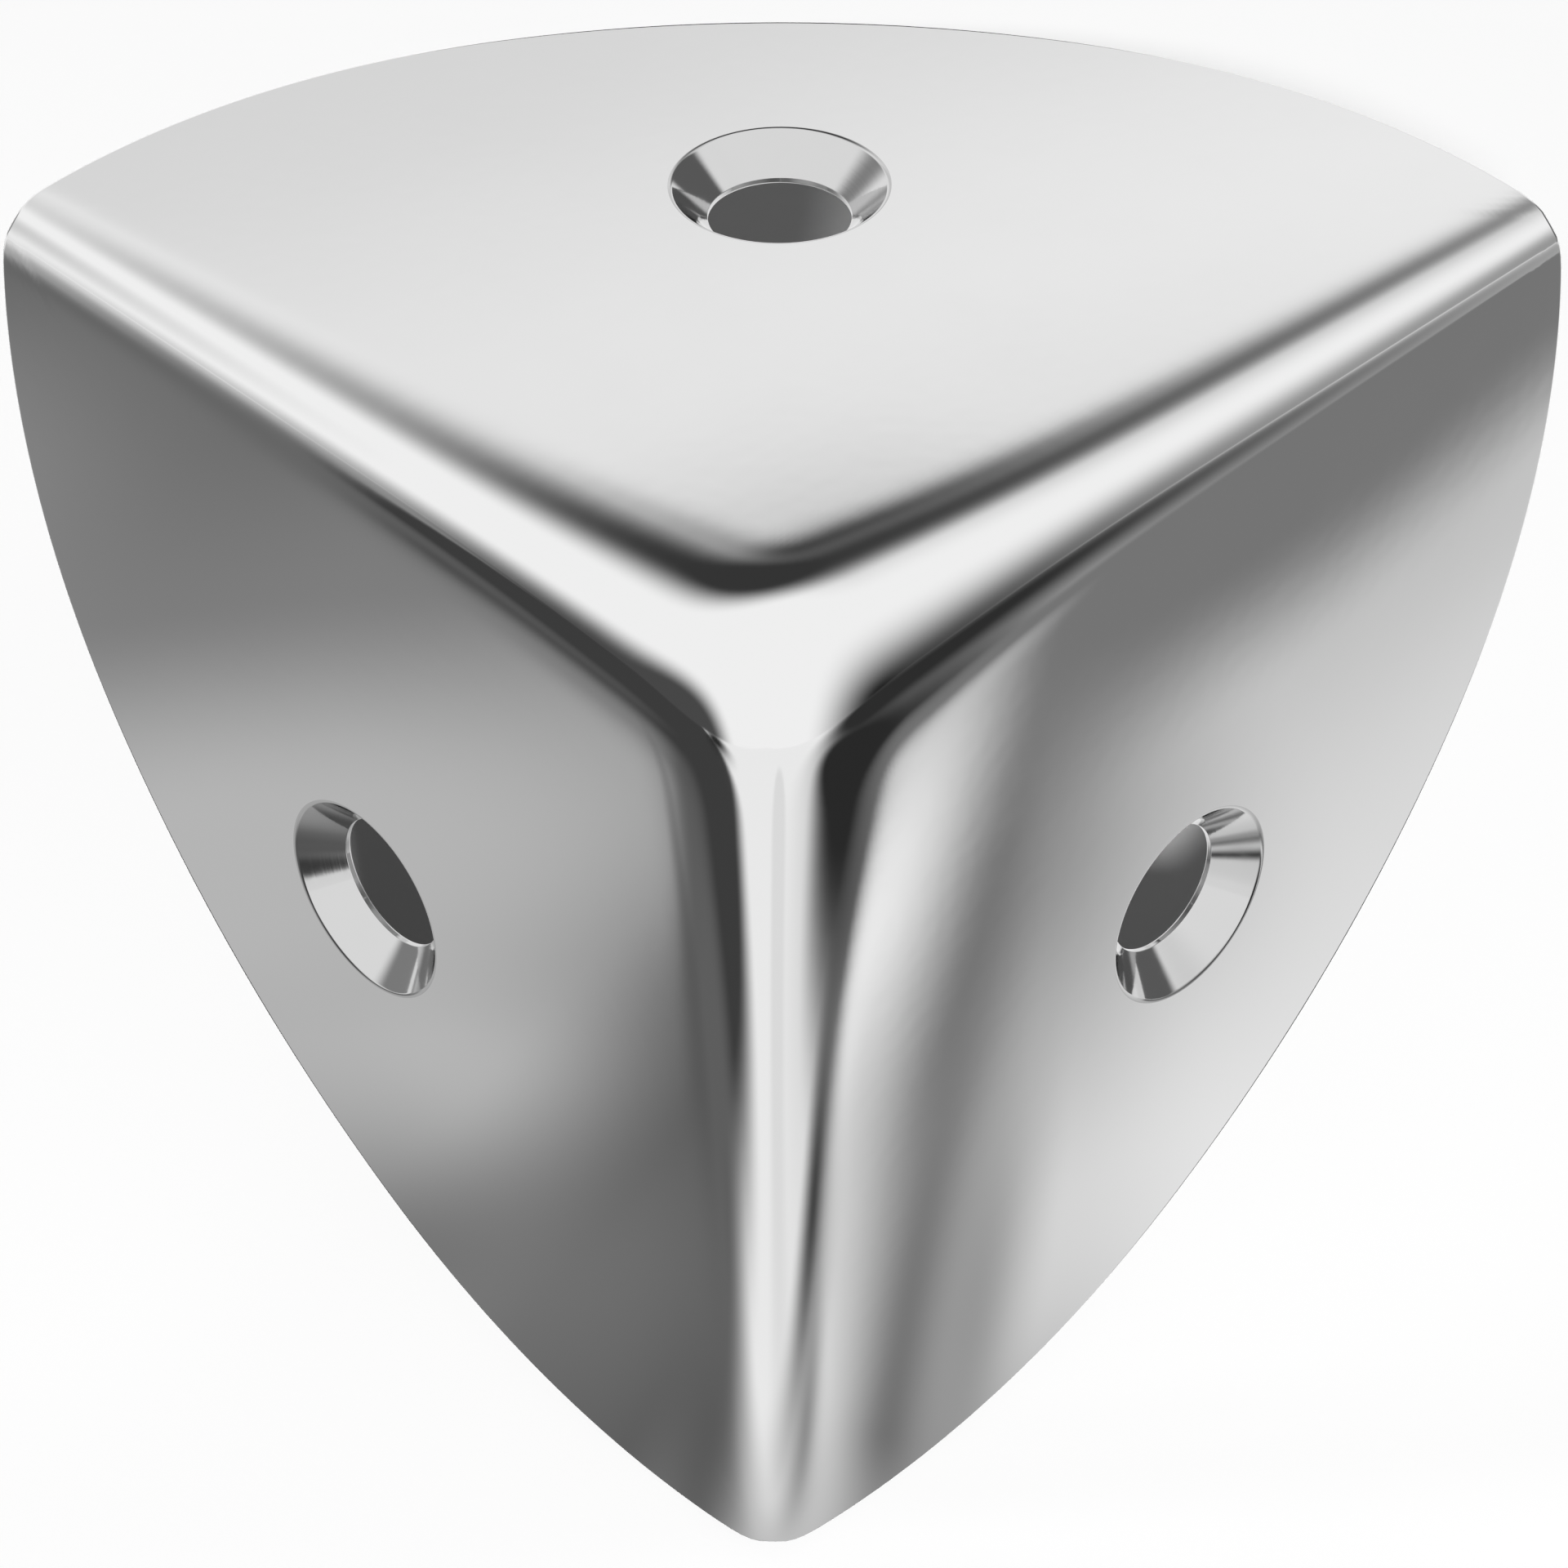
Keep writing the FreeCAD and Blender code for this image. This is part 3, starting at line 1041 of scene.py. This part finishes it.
@dataclass
class Studio:
    """The pale floor, the white surroundings, the soft lamp and the cards in the reflections.

    Levels are millimetres, other lengths metres, and angles degrees.
    """

    floor_level: float = -39.25
    floor_size: float = 6.0
    floor_colour: str = "FFFFFF"
    floor_roughness: float = 0.9
    world_level: float = 0.05  # the share of the floor's light that comes from all round
    lamp_distance: float = 4.0
    lamp_size: float = 0.36
    lamp_azimuth: float = -50.0  # from -Y towards +X
    lamp_elevation: float = 32.0
    mat_level: float = -39.15
    mat_size: float = 0.56
    mat_fade: float = 0.05  # how far in from its edge the mat starts to fade
    mat_colour: str = "F8F8F8"
    mat_cards: tuple[SoftCard, ...] = MAT_CARDS
    sky_cards: tuple[SoftCard, ...] = SKY_CARDS

    def lay_square(
        self, name: str, size: float, level: float, material: bpy.types.Material
    ) -> bpy.types.Object:
        """Lays a square below the shell.

        Args:
            name: Its name.
            size: Its side.
            level: Its height.
            material: Its finish.

        Returns:
            The square.
        """
        half = size / 2
        mesh = bpy.data.meshes.new(name)
        outline = [(-half, -half, 0), (half, -half, 0), (half, half, 0), (-half, half, 0)]
        mesh.from_pydata(outline, [], [(0, 1, 2, 3)])
        mesh.materials.append(material)
        square = bpy.data.objects.new(name, mesh)
        square.location.z = level * MM
        bpy.context.scene.collection.objects.link(square)
        return square

    def build_floor(self) -> bpy.types.Object:
        """Lays a plain pale floor just below the shell's lowest point.

        Returns:
            The floor.
        """
        material, tree, out = new_material("pale_floor")
        shader = node(
            tree,
            "ShaderNodeBsdfPrincipled",
            Base_Color=linear(self.floor_colour),
            Roughness=self.floor_roughness,
        )
        tree.links.new(shader.outputs["BSDF"], out.inputs["Surface"])
        floor = self.lay_square("floor", self.floor_size, self.floor_level, material)
        # The mat stands in for the floor in the metal
        floor.visible_glossy = False
        return floor

    def direct(self, tree: Tree) -> Socket:
        """Tells rays that haven't met the floor yet from those that light it by way of the metal.

        Args:
            tree: The node tree.

        Returns:
            1 for the first and 0 for the others, so that the floor keeps its plain level.
        """
        depth = node(tree, "ShaderNodeLightPath").outputs["Diffuse Depth"]
        return calculate(tree, "LESS_THAN", depth, 0.5)

    def build_mat(self) -> bpy.types.Object:
        """Lays the mat that only reflections see, with its grey and black cards.

        Returns:
            The mat.
        """
        material, tree, out = new_material("reflection_mat")
        place = node(tree, "ShaderNodeTexCoord").outputs["Object"]
        plain = node(tree, "ShaderNodeRGB")
        plain.outputs["Color"].default_value = linear(self.mat_colour)
        colour = plain.outputs["Color"]
        for card in self.mat_cards:
            colour = card.over(tree, place, colour)
        level = remap(tree, self.direct(tree), (0.0, 1.0), (self.world_level, 1.0))
        glow = node(tree, "ShaderNodeEmission", Color=colour, Strength=level)

        # The mat fades out towards its edge, so that the metal shows no line there
        spread = node(tree, "ShaderNodeVectorMath", {"operation": "ABSOLUTE"}, i0=place).outputs["Vector"]
        sides = node(tree, "ShaderNodeSeparateXYZ", Vector=spread)
        reach = calculate(tree, "MAXIMUM", sides.outputs["X"], sides.outputs["Y"])
        edge = self.mat_size / 2
        shown = remap(tree, reach, (edge - self.mat_fade, edge), (1.0, 0.0), smooth=True)
        clear = node(tree, "ShaderNodeBsdfTransparent").outputs["BSDF"]
        mixed = node(tree, "ShaderNodeMixShader", i0=shown, i1=clear, i2=glow.outputs["Emission"])
        tree.links.new(mixed.outputs["Shader"], out.inputs["Surface"])

        mat = self.lay_square("reflection_mat", self.mat_size, self.mat_level, material)
        for kind in ("camera", "diffuse", "shadow", "transmission", "volume_scatter"):
            setattr(mat, f"visible_{kind}", False)
        return mat

    def build_world(self) -> None:
        """Surrounds the set with white, at a plain level, and with the far cards in the metal."""
        world = bpy.data.worlds.new("studio")
        bpy.context.scene.world = world
        world.use_nodes = True
        tree = world.node_tree
        tree.nodes.clear()
        out = tree.nodes.new("ShaderNodeOutputWorld")
        ray = node(tree, "ShaderNodeLightPath").outputs
        seen = calculate(tree, "MAXIMUM", ray["Is Camera Ray"], ray["Is Glossy Ray"])
        seen = calculate(tree, "MAXIMUM", seen, ray["Is Transmission Ray"])
        seen = calculate(tree, "MULTIPLY", seen, self.direct(tree))
        level = remap(tree, seen, (0.0, 1.0), (self.world_level, 1.0))

        towards = node(tree, "ShaderNodeTexCoord").outputs["Generated"]
        white = node(tree, "ShaderNodeRGB").outputs["Color"]
        white.default_value = (1.0, 1.0, 1.0, 1.0)
        colour = white
        for card in self.sky_cards:
            colour = card.over(tree, towards, colour)
        colour = mix(tree, ray["Is Glossy Ray"], white, colour)
        glow = node(tree, "ShaderNodeBackground", Color=colour, Strength=level)
        tree.links.new(glow.outputs["Background"], out.inputs["Surface"])

    def build_lamp(self) -> bpy.types.Object:
        """Hangs one soft lamp beside the camera, so that the shadow falls behind the object.

        Returns:
            The lamp.
        """
        a, e = math.radians(self.lamp_azimuth), math.radians(self.lamp_elevation)
        towards = Vector((math.sin(a) * math.cos(e), -math.cos(a) * math.cos(e), math.sin(e)))
        light = bpy.data.lights.new("soft_lamp", "AREA")
        light.size = self.lamp_size
        # An area lamp of this power lights the floor by the share that the world leaves
        light.energy = (1 - self.world_level) * (math.pi * self.lamp_distance) ** 2 / math.sin(e)
        lamp = bpy.data.objects.new("soft_lamp", light)
        lamp.location = towards * self.lamp_distance
        lamp.rotation_euler = towards.to_track_quat("Z", "Y").to_euler()
        lamp.visible_glossy = False
        bpy.context.scene.collection.objects.link(lamp)
        return lamp

    def build(self) -> list[bpy.types.Object]:
        """Sets up everything round the object.

        Returns:
            The floor, the mat and the lamp.
        """
        self.build_world()
        return [self.build_floor(), self.build_mat(), self.build_lamp()]


@dataclass
class PhotoCamera:
    """The photograph's viewpoint, from the front left and above.

    Angles are in degrees and lengths in millimetres. Picture places are in pixels of the
    1920 pixel square frame, from its upper left corner.
    """

    azimuth: float = -43.43  # from -Y towards +X
    elevation: float = 37.89
    roll: float = -0.644
    distance: float = 140.0  # from the outer corner point
    frame: float = 1920.0  # side of the picture, in pixels
    focal: float = 5496.0  # focal length, in pixels
    tip: tuple[float, float] = (933.7, 850.8)  # where the outer corner point is in the picture
    middle: tuple[float, float] = (914.9, 810.0)  # where the lens points
    corner: tuple[float, float, float] = (-1.6, -1.6, 1.6)  # the outer corner point
    sensor: float = 36.0  # its width
    clip: tuple[float, float] = (5.0, 20000.0)  # the nearest and the farthest that it sees

    def build(self) -> bpy.types.Object:
        """Places the camera.

        Returns:
            The camera.
        """
        a, e, roll = (math.radians(v) for v in (self.azimuth, self.elevation, self.roll))
        back = Vector((math.sin(a) * math.cos(e), -math.cos(a) * math.cos(e), math.sin(e)))
        right = Vector((math.cos(a), math.sin(a), 0.0))
        up = back.cross(right)
        level = right * math.cos(roll) + up * math.sin(roll)
        upright = up * math.cos(roll) - right * math.sin(roll)
        # The camera turns aside until the corner point is at its place in the picture
        aside = math.atan((self.tip[0] - self.middle[0]) / self.focal)
        below = math.atan((self.tip[1] - self.middle[1]) / self.focal)
        turn = upright * aside + level * below
        spin = Matrix.Rotation(turn.length, 3, turn.normalized())
        axes = Matrix((spin @ level, spin @ upright, spin @ back)).transposed().to_4x4()
        data = bpy.data.cameras.new("photo_camera")
        data.sensor_width = self.sensor
        data.lens = self.focal * data.sensor_width / self.frame
        data.shift_x = (self.frame / 2 - self.middle[0]) / self.frame
        data.shift_y = (self.middle[1] - self.frame / 2) / self.frame
        data.clip_start, data.clip_end = (limit * MM for limit in self.clip)
        camera = bpy.data.objects.new("photo_camera", data)
        place = (Vector(self.corner) + back * self.distance) * MM
        camera.matrix_world = Matrix.Translation(place) @ axes
        bpy.context.scene.collection.objects.link(camera)
        bpy.context.scene.camera = camera
        return camera


def corners(box: tuple[Vector, Vector]) -> list[list[float]]:
    """Turns a box into plain lists of numbers."""
    return [[float(value) for value in corner] for corner in box]


def main() -> None:
    """Loads the frame, builds the camera, the studio and the shell."""
    logging.basicConfig(level=logging.INFO, format="%(message)s")
    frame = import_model()
    bpy.context.scene.view_settings.view_transform = "Standard"
    body = next(iter(frame["bodies"]))

    camera = PhotoCamera().build()
    LOG.info("%s: placed", camera.name)
    for piece in Studio().build():
        LOG.info("%s: placed", piece.name)
    shell = PressedShell().build()
    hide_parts("corner_shell")
    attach(shell, body)
    LOG.info("%s: %d faces", shell.name, len(shell.data.polygons))


if __name__ == "__main__":
    main()
